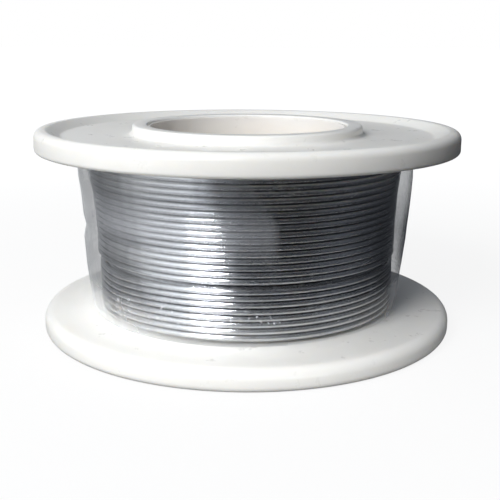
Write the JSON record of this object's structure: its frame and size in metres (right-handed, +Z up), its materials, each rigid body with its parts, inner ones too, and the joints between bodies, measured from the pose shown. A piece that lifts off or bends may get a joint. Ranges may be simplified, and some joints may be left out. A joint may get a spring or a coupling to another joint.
{
  "type": "solder wire spool",
  "caption": "Small white plastic reel with a wide bore, level-wound with bright solder wire under a clear film wrap.",
  "frame": {"origin": "centre of the lower flange's flat underside, on the bore's axis", "axes": "+Z up along the bore, from the lower flange to the upper flange; X and Y are equal by symmetry"},
  "size_m": [0.056, 0.056, 0.027],
  "materials": {
    "flange_plastic": "moulded white polypropylene, soft gloss",
    "barrel_plastic": "moulded warm white polypropylene, soft gloss",
    "solder": "bright drawn tin-lead wire, fine drawing marks",
    "clear_film": "clear glossy wrinkled film"
  },
  "bodies": {
    "root": {"upper_flange": "flange_plastic", "lower_flange": "flange_plastic", "barrel": "barrel_plastic", "solder_wire": "solder", "film_wrap": "clear_film"}
  },
  "joints": []
}
